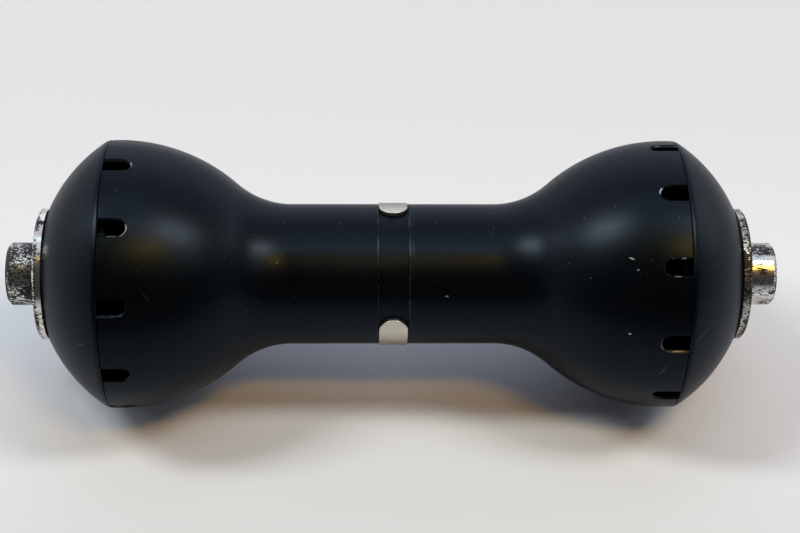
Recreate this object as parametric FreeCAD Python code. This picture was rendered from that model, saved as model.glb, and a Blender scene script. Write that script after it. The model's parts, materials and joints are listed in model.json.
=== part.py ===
import FreeCAD, Part
import math
import os

from FreeCAD import Vector

# Bicycle front hub with hidden spoke seats, for a fork with open dropouts and a quick-release skewer.
# Millimetres. The hub axis is Y, the origin is on it, midway between the fork's two faces, and +Z is up.
# Pieces that come in pairs are drawn once, on the +Y side, and mirrored. A height is a distance along +Y.

# Fork and skewer
OVER_LOCKNUT = 100.0
STUB_LENGTH = 4.6
STUB_DIAMETER = 8.94
SKEWER_BORE = 5.2

# Axle
AXLE_THREAD_DIAMETER = 10.0
AXLE_WAIST_DIAMETER = 9.3
AXLE_THREAD_PAST_CONE = 2.8
AXLE_END_CHAMFER = 0.5
THREAD_LEAD_CHAMFER = 0.5
KEYWAY_WIDTH = 1.8
KEYWAY_DEPTH = 0.6

# Locknut: the plated disc that the fork clamps, with a hexagon behind it
LOCKNUT_DIAMETER = 18.66
LOCKNUT_DISC_THICKNESS = 1.4
LOCKNUT_RIM_CHAMFER = 0.25
LOCKNUT_HEX_SIZE = 15.0
LOCKNUT_HEX_LENGTH = 3.2

# Keyed washer between locknut and cone
WASHER_SETBACK = 0.05
WASHER_THICKNESS = 1.0
TONGUE_SIDE_GAP = 0.1
TONGUE_FLOOR_GAP = 0.1

# Ball bearing
BALL_DIAMETER = 4.763
BALL_COUNT = 9
BALL_CIRCLE_DIAMETER = 16.8
CONTACT_ANGLE = 45.0
GROOVE_OVER_BALL = 0.06
RACE_GAP = 0.02

# Cone
CONE_DIAMETER = 15.5
CONE_FLAT_SIZE = 13.0
CONE_FLAT_LENGTH = 2.0
CONE_FLAT_STANDOFF = 0.2
CONE_NOSE_LENGTH = 1.6
CONE_EDGE_CHAMFER = 0.3

# Pressed-in cup
CUP_WALL = 1.05
CUP_FLOOR = 1.0
CUP_HOLE_GAP = 1.0

# Ball retainer
RETAINER_RUNNING_GAP = 0.25
RETAINER_POCKET_GAP = 0.06
RETAINER_RIM_THICKNESS = 0.45
RETAINER_RIM_GAP = 0.06
RETAINER_RIM_WIDTH = 1.5
RETAINER_FINGER_DEPTH = 0.8
RETAINER_FINGER_HEIGHT = 1.7
RETAINER_SEAL_GAP = 0.3

# Lip seal and dust cap
SEAL_THICKNESS = 1.0
SEAL_LIP_GAP = 0.08
SEAL_BEVEL = 0.5
CAP_SHEET = 0.5
CAP_OVERLAP = 0.8
CAP_HOLE_GAP = 0.3

# Shell, outside
BARREL_DIAMETER = 20.0
BULB_DIAMETER = 38.2
WAIST_FILLET_RADIUS = 11.9
BULB_ARC_RADIUS = 25.4
CREST_TO_SEAM = 1.07
SEAM_CHAMFER = 0.12

# Shell, inside
SHELL_BORE = 15.0
RIM_WALL = 2.45
BOSS_WALL = 1.6
SPOKE_WELL_DEPTH = 10.3
SPOKE_WELL_CORNER = 0.6

# Spoke slots, open towards the cover, each with a countersunk seat inside for the spoke's head
SLOTS_PER_SIDE = 11
SLOT_WIDTH = 2.2
SLOT_LENGTH = 3.8
SLOT_CHAMFER = 0.2
HEAD_SEAT_DIAMETER = 3.8
RIGHT_SLOT_ANGLE = 15.0

# End cover
COVER_NOSE_SETBACK = 1.75
COVER_SHOULDER_RADIUS = 1.5
COVER_SHOULDER_ANGLE = 33.5
COVER_FLANK_RADIUS = 22.3
COVER_NOSE_FILLET = 0.5
COVER_WALL = 1.8
COVER_HOLE_GAP = 0.3
COVER_LIP_LENGTH = 0.8
COVER_LIP_GAP = 0.05

# Grease port and the spring clip that hides it
CLIP_WIDTH = 4.05
CLIP_THICKNESS = 0.55
CLIP_GAP_ANGLE = 98.0
CLIP_GAP_DIRECTION = 53.7
CLIP_SIDE_GAP = 0.06
CLIP_SEAT_GAP = 0.03
CLIP_GROOVE_DEPTH = 0.4
GROOVE_EDGE_CHAMFER = 0.1
PORT_DIAMETER = 3.0

# How far a cutter stands out past what it cuts
CUT_MARGIN = 1.0

CENTRE = Vector(0, 0, 0)
HUB_AXIS = Vector(0, 1, 0)

# Radii that more than one piece shares
ball_radius = BALL_DIAMETER / 2
ball_circle = BALL_CIRCLE_DIAMETER / 2
groove_radius = ball_radius + GROOVE_OVER_BALL
race_shift = (GROOVE_OVER_BALL - RACE_GAP) * math.cos(math.radians(CONTACT_ANGLE))
race_lift = (GROOVE_OVER_BALL - RACE_GAP) * math.sin(math.radians(CONTACT_ANGLE))
thread_radius = AXLE_THREAD_DIAMETER / 2
cone_radius = CONE_DIAMETER / 2
cone_nose_radius = ball_circle + race_shift - groove_radius
cup_mouth_radius = ball_circle - race_shift + groove_radius
cup_radius = cup_mouth_radius + CUP_WALL
cup_hole_radius = cone_nose_radius + CUP_HOLE_GAP
boss_radius = cup_radius + BOSS_WALL
barrel_radius = BARREL_DIAMETER / 2
bulb_radius = BULB_DIAMETER / 2
locknut_radius = LOCKNUT_DIAMETER / 2
hex_corner_radius = LOCKNUT_HEX_SIZE / math.sqrt(3)
cover_hole_radius = max(locknut_radius, hex_corner_radius) + COVER_HOLE_GAP

# The stack on the axle, from the fork's face inwards
fork_face = OVER_LOCKNUT / 2
disc_back = fork_face - LOCKNUT_DISC_THICKNESS
hex_back = disc_back - LOCKNUT_HEX_LENGTH
washer_back = hex_back - WASHER_THICKNESS
flats_back = washer_back - CONE_FLAT_LENGTH
cap_face = flats_back - CONE_FLAT_STANDOFF
boss_end = cap_face - CAP_SHEET
cup_mouth = boss_end - SEAL_THICKNESS
retainer_top = cup_mouth - RETAINER_SEAL_GAP
ball_row = retainer_top - RETAINER_RIM_THICKNESS - RETAINER_RIM_GAP - ball_radius
cup_race_height = ball_row + race_lift
cone_race_height = ball_row - race_lift
cup_floor = cup_race_height - groove_radius - CUP_FLOOR
cone_nose = cone_race_height - CONE_NOSE_LENGTH
thread_low = cone_nose - AXLE_THREAD_PAST_CONE


# Helpers for turned pieces

def solid_of(shape):
    """The single solid of a shape, facing outwards."""
    solid = shape.Solids[0] if shape.Solids else Part.Solid(shape.Shells[0])
    if solid.Volume < 0:
        solid.reverse()
    return solid


def mirrored(shape):
    """The same piece on the hub's other side, as one solid or a group of them."""
    copies = [solid_of(solid.mirror(CENTRE, HUB_AXIS)) for solid in shape.Solids]
    return copies[0] if len(copies) == 1 else Part.Compound(copies)


def turn_to(shape, degrees):
    """A copy of a shape made on +X, swung about the hub axis by an angle that runs from +X up to +Z."""
    turned = shape.copy()
    turned.rotate(CENTRE, HUB_AXIS, -degrees)
    return turned


class Outline:
    """A section for the lathe: each point is (radius, height), joined by lines and arcs."""

    def __init__(self, radius, height):
        self.start = Vector(radius, height, 0)
        self.here = self.start
        self.edges = []

    def line(self, radius, height):
        end = Vector(radius, height, 0)
        if (end - self.here).Length > 1e-6:
            self.edges.append(Part.LineSegment(self.here, end).toShape())
            self.here = end
        return self

    def arc(self, centre, radius, height):
        """An arc about centre, the short way round, to the given point."""
        end = Vector(radius, height, 0)
        middle = Vector(centre[0], centre[1], 0)
        out = (self.here - middle) + (end - middle)
        halfway = middle + out.normalize() * (self.here - middle).Length
        self.edges.append(Part.Arc(self.here, halfway, end).toShape())
        self.here = end
        return self

    def turned(self):
        """The section closed and revolved a full turn about the hub axis."""
        self.line(self.start.x, self.start.y)
        face = Part.Face(Part.Wire(self.edges))
        return solid_of(face.revolve(CENTRE, HUB_AXIS, 360))

    def turned_both_sides(self):
        """The same for a half section that starts and ends at height 0, joined to its mirror image."""
        flipped = [edge.mirror(CENTRE, HUB_AXIS) for edge in self.edges]
        ring = Part.Wire(Part.sortEdges(self.edges + flipped)[0])
        return solid_of(Part.Face(ring).revolve(CENTRE, HUB_AXIS, 360))


def tube(outer, inner, low, high):
    """A plain ring about the hub axis between two heights."""
    return Outline(inner, low).line(outer, low).line(outer, high).line(inner, high).turned()


def radial_bar(radius, height, start, end):
    """A round bar along +X, between two distances from the hub axis."""
    return Part.makeCylinder(radius, end - start, Vector(start, height, 0), Vector(1, 0, 0))


# The outer curve of the end cover, in radius and in height past the seam

crest_lean = math.asin(CREST_TO_SEAM / BULB_ARC_RADIUS)
seam_radius = bulb_radius - BULB_ARC_RADIUS * (1 - math.cos(crest_lean))
shoulder_lean = math.radians(COVER_SHOULDER_ANGLE)
shoulder_centre_r = seam_radius - COVER_SHOULDER_RADIUS * math.cos(crest_lean)
shoulder_centre_y = -COVER_SHOULDER_RADIUS * math.sin(crest_lean)
flank_reach = COVER_FLANK_RADIUS - COVER_SHOULDER_RADIUS
flank_centre_r = shoulder_centre_r - flank_reach * math.cos(shoulder_lean)
flank_centre_y = shoulder_centre_y - flank_reach * math.sin(shoulder_lean)


def flank_height(radius, inside=0.0):
    """Height past the seam of the cover's flank at a radius, or of the surface that far inside it."""
    reach = COVER_FLANK_RADIUS - inside
    return flank_centre_y + math.sqrt(reach**2 - (radius - flank_centre_r) ** 2)


nose_centre_r = cover_hole_radius + COVER_NOSE_FILLET
nose_centre_y = flank_height(nose_centre_r, COVER_NOSE_FILLET)
nose = fork_face - COVER_NOSE_SETBACK
seam = nose - nose_centre_y - COVER_NOSE_FILLET

# The outer curve of the shell: barrel, hollow waist arc, and bulb arc up to the seam

crest = seam - CREST_TO_SEAM
bulb_centre_r = bulb_radius - BULB_ARC_RADIUS
waist_centre_r = barrel_radius + WAIST_FILLET_RADIUS
arc_centres_apart = BULB_ARC_RADIUS + WAIST_FILLET_RADIUS
waist_start = crest - math.sqrt(arc_centres_apart**2 - (waist_centre_r - bulb_centre_r) ** 2)
waist_share = WAIST_FILLET_RADIUS / arc_centres_apart
waist_end_r = waist_centre_r + (bulb_centre_r - waist_centre_r) * waist_share
waist_end_y = waist_start + (crest - waist_start) * waist_share


def bulb_surface_radius(height):
    """Radius of the bulb's outside at a height between the waist and the seam."""
    return bulb_centre_r + math.sqrt(BULB_ARC_RADIUS**2 - (height - crest) ** 2)


# Shell

well_outer_radius = seam_radius - RIM_WALL
well_floor = seam - SPOKE_WELL_DEPTH
well_floor_radius = bulb_surface_radius(well_floor) - RIM_WALL
slot_end = seam - SLOT_LENGTH
slot_round_centre = slot_end + SLOT_WIDTH / 2
groove_half_width = CLIP_WIDTH / 2 + CLIP_SIDE_GAP
groove_floor_radius = barrel_radius - CLIP_GROOVE_DEPTH


def shell_body():
    """The turned body: clip groove, barrel, waist, bulb, spoke well, boss with its cup seat, and bore."""
    half = Outline(groove_floor_radius, 0)
    half.line(groove_floor_radius, groove_half_width)
    half.line(barrel_radius - GROOVE_EDGE_CHAMFER, groove_half_width)
    half.line(barrel_radius, groove_half_width + GROOVE_EDGE_CHAMFER)
    half.line(barrel_radius, waist_start)
    half.arc((waist_centre_r, waist_start), waist_end_r, waist_end_y)
    chamfer_start = seam - SEAM_CHAMFER
    half.arc((bulb_centre_r, crest), bulb_surface_radius(chamfer_start), chamfer_start)
    half.line(seam_radius - SEAM_CHAMFER, seam)
    half.line(well_outer_radius, seam)
    half.line(well_outer_radius, slot_end)
    half.line(well_floor_radius, well_floor + SPOKE_WELL_CORNER)
    half.line(well_floor_radius - SPOKE_WELL_CORNER, well_floor)
    half.line(boss_radius, well_floor)
    half.line(boss_radius, boss_end)
    half.line(cup_radius, boss_end)
    half.line(cup_radius, cup_floor)
    half.line(SHELL_BORE / 2, cup_floor)
    half.line(SHELL_BORE / 2, 0)
    return half.turned_both_sides()


def slot_outline(half_width, distance):
    """The slot's U, open past the seam, in a plane that far out along +X."""
    open_end = seam + CUT_MARGIN
    corner = Vector(distance, open_end, -half_width)
    arc_start = Vector(distance, slot_round_centre, -half_width)
    arc_tip = Vector(distance, slot_round_centre - half_width, 0)
    arc_end = Vector(distance, slot_round_centre, half_width)
    far_corner = Vector(distance, open_end, half_width)
    edges = [
        Part.LineSegment(corner, arc_start).toShape(),
        Part.Arc(arc_start, arc_tip, arc_end).toShape(),
        Part.LineSegment(arc_end, far_corner).toShape(),
        Part.LineSegment(far_corner, corner).toShape(),
    ]
    return Part.Wire(edges)


def spoke_slot():
    """The cutter for one slot: a U straight out through the rim wall, flared where it breaks the surface."""
    half_width = SLOT_WIDTH / 2
    inner = (boss_radius + well_outer_radius) / 2
    outer = bulb_radius + CUT_MARGIN
    through = Part.Face(slot_outline(half_width, inner)).extrude(Vector(outer - inner, 0, 0))
    flare_start = bulb_surface_radius(slot_end) - SLOT_CHAMFER
    rise = outer - flare_start
    flare_ends = [slot_outline(half_width, flare_start), slot_outline(half_width + rise, outer)]
    return solid_of(through.fuse(Part.makeLoft(flare_ends, True)))


def head_seat():
    """The cutter for one seat: a countersink in the rim wall from inside, round the slot's closed end."""
    seat_radius = HEAD_SEAT_DIAMETER / 2
    inner = (boss_radius + well_outer_radius) / 2
    depth = seat_radius - SLOT_WIDTH / 2
    way_in = radial_bar(seat_radius, slot_round_centre, inner, well_outer_radius)
    mouth = Vector(well_outer_radius, slot_round_centre, 0)
    countersink = Part.makeCone(seat_radius, SLOT_WIDTH / 2, depth, mouth, Vector(1, 0, 0))
    return solid_of(way_in.fuse(countersink))


def hub_shell():
    """The shell with its spoke slots, half a step apart from side to side, and the grease port."""
    step = 360.0 / SLOTS_PER_SIDE
    right = solid_of(spoke_slot().fuse(head_seat()))
    left = mirrored(right)
    cutters = []
    for n in range(SLOTS_PER_SIDE):
        cutters.append(turn_to(right, RIGHT_SLOT_ANGLE + n * step))
        cutters.append(turn_to(left, RIGHT_SLOT_ANGLE + (n + 0.5) * step))
    port = radial_bar(PORT_DIAMETER / 2, 0, 0, barrel_radius + CUT_MARGIN)
    cutters.append(turn_to(port, CLIP_GAP_DIRECTION + 180))
    return solid_of(shell_body().cut(cutters))


# End cover

def end_cover():
    """A domed cap that closes the spoke well: it screws on the boss and lands on the rim wall at the seam."""
    edge_lean = crest_lean + SEAM_CHAMFER / COVER_SHOULDER_RADIUS
    edge_r = shoulder_centre_r + COVER_SHOULDER_RADIUS * math.cos(edge_lean)
    edge_y = shoulder_centre_y + COVER_SHOULDER_RADIUS * math.sin(edge_lean)
    shoulder_end_r = flank_centre_r + COVER_FLANK_RADIUS * math.cos(shoulder_lean)
    shoulder_end_y = flank_centre_y + COVER_FLANK_RADIUS * math.sin(shoulder_lean)
    flank_centre = (flank_centre_r, seam + flank_centre_y)
    nose_share = COVER_FLANK_RADIUS / (COVER_FLANK_RADIUS - COVER_NOSE_FILLET)
    flank_end_r = flank_centre_r + (nose_centre_r - flank_centre_r) * nose_share
    lip_radius = well_outer_radius - COVER_LIP_GAP

    cover = Outline(seam_radius - SEAM_CHAMFER, seam)
    cover.line(edge_r, seam + edge_y)
    cover.arc((shoulder_centre_r, seam + shoulder_centre_y), shoulder_end_r, seam + shoulder_end_y)
    cover.arc(flank_centre, flank_end_r, seam + flank_height(flank_end_r))
    cover.arc((nose_centre_r, seam + nose_centre_y), cover_hole_radius, seam + nose_centre_y)
    cover.line(cover_hole_radius, seam + flank_height(cover_hole_radius, COVER_WALL))
    cover.arc(flank_centre, boss_radius, seam + flank_height(boss_radius, COVER_WALL))
    cover.line(boss_radius, seam - COVER_LIP_LENGTH)
    cover.line(lip_radius, seam - COVER_LIP_LENGTH)
    cover.line(lip_radius, seam)
    return cover.turned()


# Bearing

def bearing_cup():
    """Its groove faces out and towards the axle, and its straight mouth leads the balls in."""
    race_r = ball_circle - race_shift
    cup = Outline(cup_hole_radius, cup_floor)
    cup.line(cup_radius, cup_floor)
    cup.line(cup_radius, cup_mouth)
    cup.line(cup_mouth_radius, cup_mouth)
    cup.line(cup_mouth_radius, cup_race_height)
    cup.arc((race_r, cup_race_height), race_r, cup_race_height - groove_radius)
    cup.line(cup_hole_radius, cup_race_height - groove_radius)
    return cup.turned()


def cone():
    """Screws on the axle; its groove faces in and away from the axle. Two flats take a thin spanner."""
    race_r = ball_circle + race_shift
    crest_r = cone_radius - CONE_EDGE_CHAMFER
    crest_y = cone_race_height + math.sqrt(groove_radius**2 - (race_r - crest_r) ** 2)
    body = Outline(thread_radius, cone_nose)
    body.line(cone_nose_radius, cone_nose)
    body.line(cone_nose_radius, cone_race_height)
    body.arc((race_r, cone_race_height), crest_r, crest_y)
    body.line(cone_radius, crest_y + CONE_EDGE_CHAMFER)
    body.line(cone_radius, washer_back)
    body.line(thread_radius, washer_back)
    depth = CONE_DIAMETER + CUT_MARGIN
    corner = Vector(-CONE_FLAT_SIZE / 2, flats_back, -depth / 2)
    between_flats = Part.makeBox(CONE_FLAT_SIZE, CONE_FLAT_LENGTH, depth, corner)
    round_end = tube(cone_radius + CUT_MARGIN, thread_radius / 2, flats_back, washer_back)
    return solid_of(body.turned().cut(round_end.cut(between_flats)))


def ball_at(radius, number):
    """One ball of the row, or its pocket in the retainer."""
    ball = Part.makeSphere(radius, Vector(ball_circle, ball_row, 0), Vector(1, 0, 0))
    return turn_to(ball, number * 360.0 / BALL_COUNT)


def balls():
    """One full row, as separate solids."""
    return Part.Compound([ball_at(ball_radius, n) for n in range(BALL_COUNT)])


def ball_retainer():
    """A crown: a rim over the balls, and between each pair a finger that follows the ball's curve."""
    inner = cone_radius + RETAINER_RUNNING_GAP
    outer = cup_mouth_radius - RETAINER_RUNNING_GAP
    finger_inner = max(inner, ball_circle - RETAINER_FINGER_HEIGHT / 2)
    finger_outer = min(outer, ball_circle + RETAINER_FINGER_HEIGHT / 2)
    rim = tube(outer, inner, retainer_top - RETAINER_RIM_WIDTH, retainer_top)
    fingers = tube(finger_outer, finger_inner, ball_row - RETAINER_FINGER_DEPTH, retainer_top)
    pockets = [ball_at(ball_radius + RETAINER_POCKET_GAP, n) for n in range(BALL_COUNT)]
    return solid_of(rim.fuse(fingers).cut(pockets))


# Seal and dust cap

def lip_seal():
    """A rubber ring in the dust cap; its lip runs on the cone."""
    lip = cone_radius + SEAL_LIP_GAP
    outer = cup_radius - CAP_SHEET
    seal = Outline(lip, boss_end)
    seal.line(lip + SEAL_BEVEL, cup_mouth)
    seal.line(outer, cup_mouth)
    seal.line(outer, boss_end)
    return seal.turned()


def dust_cap():
    """Pressed sheet: a skirt in the boss, round the seal, and a flange over the boss and the seal."""
    hole = cone_radius + CAP_HOLE_GAP
    flange = boss_radius - CAP_OVERLAP
    cap = Outline(hole, boss_end)
    cap.line(cup_radius - CAP_SHEET, boss_end)
    cap.line(cup_radius - CAP_SHEET, cup_mouth)
    cap.line(cup_radius, cup_mouth)
    cap.line(cup_radius, boss_end)
    cap.line(flange, boss_end)
    cap.line(flange, cap_face)
    cap.line(hole, cap_face)
    return cap.turned()


# Axle, washers and locknuts

def keyway_bar(width, floor_gap):
    """A bar on +Z along the axle's thread, from the cone's flats out to the fork's face."""
    floor = thread_radius - KEYWAY_DEPTH + floor_gap
    corner = Vector(-width / 2, flats_back, floor)
    return Part.makeBox(width, fork_face - flats_back, KEYWAY_DEPTH + CUT_MARGIN, corner)


def axle():
    """A hollow shaft: smooth stubs for the fork, a thread at each end, and a thinner waist."""
    stub = STUB_DIAMETER / 2
    bore = SKEWER_BORE / 2
    waist = AXLE_WAIST_DIAMETER / 2
    end = fork_face + STUB_LENGTH
    half = Outline(waist, 0)
    half.line(waist, thread_low - THREAD_LEAD_CHAMFER)
    half.line(thread_radius, thread_low)
    half.line(thread_radius, fork_face - THREAD_LEAD_CHAMFER)
    half.line(stub, fork_face)
    half.line(stub, end - AXLE_END_CHAMFER)
    half.line(stub - AXLE_END_CHAMFER, end)
    half.line(bore, end)
    half.line(bore, 0)
    keyway = keyway_bar(KEYWAY_WIDTH, 0)
    return solid_of(half.turned_both_sides().cut([keyway, mirrored(keyway)]))


def lock_washer():
    """A flat ring whose tongue lies in the keyway, so that turning the locknut can't turn the cone."""
    ring = tube(cone_radius - WASHER_SETBACK, thread_radius, washer_back, hex_back)
    slice_of_stack = tube(thread_radius + TONGUE_FLOOR_GAP, thread_radius / 2, washer_back, hex_back)
    tongue = keyway_bar(KEYWAY_WIDTH - 2 * TONGUE_SIDE_GAP, TONGUE_FLOOR_GAP).common(slice_of_stack)
    return solid_of(ring.fuse(tongue).removeSplitter())


def locknut():
    """A plated disc that stands outside the cover, with a hexagon for the spanner behind it."""
    rim = locknut_radius - LOCKNUT_RIM_CHAMFER
    disc = Outline(thread_radius, disc_back)
    disc.line(rim, disc_back)
    disc.line(locknut_radius, disc_back + LOCKNUT_RIM_CHAMFER)
    disc.line(locknut_radius, fork_face - LOCKNUT_RIM_CHAMFER)
    disc.line(rim, fork_face)
    disc.line(thread_radius, fork_face)
    corner = Part.Vertex(hex_corner_radius, hex_back, 0)
    corners = [turn_to(corner, 60 * n).Point for n in range(7)]
    hexagon = Part.Face(Part.makePolygon(corners)).extrude(Vector(0, LOCKNUT_HEX_LENGTH, 0))
    core = Part.makeCylinder(thread_radius, LOCKNUT_HEX_LENGTH, Vector(0, hex_back, 0), HUB_AXIS)
    return solid_of(disc.turned().fuse(hexagon.cut(core)).removeSplitter())


# Grease port clip

def grease_port_clip():
    """A spring band in the shell's groove: most of a turn, with round ends, and its gap away from the port."""
    inner = groove_floor_radius + CLIP_SEAT_GAP
    outer = inner + CLIP_THICKNESS
    half_width = CLIP_WIDTH / 2
    band = tube(outer, inner, -half_width, half_width)
    end_angle = CLIP_GAP_ANGLE / 2 + math.degrees(half_width / outer)
    wedge = Part.makeCylinder(2 * outer, 2 * CLIP_WIDTH, Vector(0, -CLIP_WIDTH, 0), HUB_AXIS, 2 * end_angle)
    gap = turn_to(wedge, end_angle - 90)
    round_end = radial_bar(half_width, 0, inner / 2, 2 * outer)
    ends = [turn_to(round_end, side * end_angle) for side in (1, -1)]
    return turn_to(solid_of(band.cut(gap.cut(ends))), CLIP_GAP_DIRECTION)


# All pieces, by node name

def pieces():
    made = {"hub_shell": hub_shell(), "axle": axle(), "grease_port_clip": grease_port_clip()}
    sided = [
        end_cover, bearing_cup, balls, ball_retainer, cone, lip_seal, dust_cap, lock_washer, locknut,
    ]
    for make in sided:
        right = make()
        made["right_" + make.__name__] = right
        made["left_" + make.__name__] = mirrored(right)
    return made


def main():
    os.makedirs("parts", exist_ok=True)
    for name, shape in sorted(pieces().items()):
        shape.exportStep(os.path.join("parts", name + ".step"))
        box = shape.BoundBox
        print(
            f"{name:20s} solids {len(shape.Solids)}  sound {shape.isValid()}  {shape.Volume:8.1f} mm3"
            f"  height {box.YMin:6.2f} to {box.YMax:6.2f}"
        )
    print(f"seam {seam:.2f}, nose {nose:.2f}, ball row {ball_row:.2f}, boss end {boss_end:.2f}")


main()
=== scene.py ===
# %% [markdown]
# # A bicycle front hub
# This notebook dresses the hub's solids for a close photograph. The hub is mostly one kind of shape: pieces
# turned on a lathe. So most of the work is in two things: smooth turned skins for the black shell and its two
# covers, and finishes whose wear sits where a real hub wears.

# %% Load the solids
import json
import math

import bmesh
import bpy
from mathutils import Matrix, Vector

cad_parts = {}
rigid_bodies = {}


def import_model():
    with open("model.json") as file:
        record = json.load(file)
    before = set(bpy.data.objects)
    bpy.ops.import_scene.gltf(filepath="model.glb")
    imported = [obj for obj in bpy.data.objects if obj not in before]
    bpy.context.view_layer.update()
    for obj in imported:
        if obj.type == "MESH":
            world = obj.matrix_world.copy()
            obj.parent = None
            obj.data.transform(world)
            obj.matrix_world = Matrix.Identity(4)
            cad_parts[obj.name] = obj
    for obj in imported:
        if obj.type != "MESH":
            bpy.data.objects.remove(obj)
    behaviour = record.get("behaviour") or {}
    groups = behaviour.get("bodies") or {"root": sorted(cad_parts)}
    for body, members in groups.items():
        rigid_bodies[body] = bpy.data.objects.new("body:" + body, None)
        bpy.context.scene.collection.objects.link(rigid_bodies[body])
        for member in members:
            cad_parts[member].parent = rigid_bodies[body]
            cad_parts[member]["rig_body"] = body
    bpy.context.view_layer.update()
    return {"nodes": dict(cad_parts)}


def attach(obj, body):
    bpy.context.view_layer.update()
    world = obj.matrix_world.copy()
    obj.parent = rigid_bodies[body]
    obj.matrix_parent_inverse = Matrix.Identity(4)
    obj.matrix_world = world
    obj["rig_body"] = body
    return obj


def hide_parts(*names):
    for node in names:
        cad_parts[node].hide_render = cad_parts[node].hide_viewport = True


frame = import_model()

nodes = frame["nodes"]
print("solids:", ", ".join(sorted(nodes)))

# %% [markdown]
# The sizes below are the hub's own, in millimetres. `MM` turns them into Blender's metres. The hub axis is
# Y, +Z is up and +X is towards the viewer. A height is a distance along the axis from the middle. Sizes could
# be read off the solids instead, but a turned outline needs its radii and arc centres, which a mesh no longer
# knows.

# %% Sizes of the shell and covers
MM = 0.001
FORK_FACE = 50.0
STUB_END = 54.6
BARREL_RADIUS = 10.0
BULB_RADIUS = 19.1
WAIST_FILLET = 11.9
BULB_ARC = 25.4
SEAM = 39.87
CREST = 38.80
SEAM_CHAMFER = 0.12
GROOVE_FLOOR = 9.6
GROOVE_HALF = 2.085
GROOVE_CHAMFER = 0.1
SHELL_BORE = 7.5
RIM_WALL = 2.45
WELL_DEPTH = 10.3
WELL_CORNER = 0.6
BOSS_RADIUS = 13.456
CUP_SEAT_RADIUS = 11.856
CUP_SEAT_FLOOR = 34.10
BOSS_END = 41.70
SLOTS = 11
SLOT_HALF = 1.1
SLOT_END = 36.07
SLOT_CHAMFER = 0.2
RIGHT_SLOT_ANGLE = 15.0
COVER_HOLE = 9.63
COVER_SHOULDER = 1.5
COVER_SHOULDER_LEAN = math.radians(33.5)
COVER_FLANK = 22.3
COVER_NOSE_FILLET = 0.5
COVER_WALL = 1.8
COVER_LIP = 0.8
COVER_LIP_GAP = 0.05
CLIP_INNER = 9.63
CLIP_OUTER = 10.18
CLIP_HALF = 2.025
CLIP_EDGE = 0.07
CLIP_GAP = 98.0
CLIP_GAP_DIRECTION = 53.7
slot_step = 360.0 / SLOTS
slot_round = SLOT_END + SLOT_HALF
print(f"hub {2 * STUB_END:.1f} mm long, bulbs {2 * BULB_RADIUS:.1f} mm")
print(f"{2 * SLOTS} slots, {slot_step:.2f} degrees apart")

# %% [markdown]
# Every piece begins as a plain mesh in an object of its own, at the origin and unturned, because the patterns
# on it read its own coordinates. A turned piece starts as a section: half its outline, as radius and height.
# Lines need only their ends. An arc is split into short chords, fine enough that a satin surface shows no
# facets. A Bezier curve would need fewer points, but its arcs are only nearly round. The class keeps the
# section as a plain list of points, so the same code draws shell and covers.

# %% A section for the lathe
def new_piece(name, points, edges=(), faces=()):
    """An object with a mesh of its own, in the scene."""
    mesh = bpy.data.meshes.new(name)
    mesh.from_pydata(points, edges, faces)
    piece = bpy.data.objects.new(name, mesh)
    bpy.context.scene.collection.objects.link(piece)
    return piece


class Section:
    """Half an outline in millimetres: (radius, height) points joined by lines and arcs."""

    def __init__(self, radius, height):
        self.points = [(radius, height)]

    def line(self, radius, height):
        self.points.append((radius, height))

    def arc(self, centre, radius, height, chord_degrees=1.6):
        """The short way round from the last point to this one."""
        start_r, start_h = self.points[-1]
        start = math.atan2(start_h - centre[1], start_r - centre[0])
        turn = math.atan2(height - centre[1], radius - centre[0]) - start
        turn = (turn + math.pi) % (2 * math.pi) - math.pi
        reach = math.hypot(start_r - centre[0], start_h - centre[1])
        count = max(2, math.ceil(abs(math.degrees(turn)) / chord_degrees))
        for n in range(1, count):
            angle = start + turn * n / count
            self.line(centre[0] + reach * math.cos(angle), centre[1] + reach * math.sin(angle))
        self.line(radius, height)

    def mirrored(self):
        """The points of the mirror image across the hub's middle, so that they run on from the last one."""
        return [(radius, -height) for radius, height in reversed(self.points)]

    def outline(self, name):
        """The closed section as a ring of edges, radius along X and height along Y, in metres."""
        ring = [(r * MM, h * MM, 0.0) for r, h in self.points]
        return new_piece(name, ring, edges=[(n, (n + 1) % len(ring)) for n in range(len(ring))])


quarter = Section(1.0, 0.0)
quarter.arc((0.0, 0.0), 0.0, 1.0)
print("a quarter circle takes", len(quarter.points), "points")

# %% [markdown]
# Both kinds of node tree, geometry and shader, are built by the same small classes. `Amount` wraps one number
# that varies over a surface, so that `1 - mask * 0.5` in Python adds the Math nodes for it. Wiring by hand is
# slower to read and to change.

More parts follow.
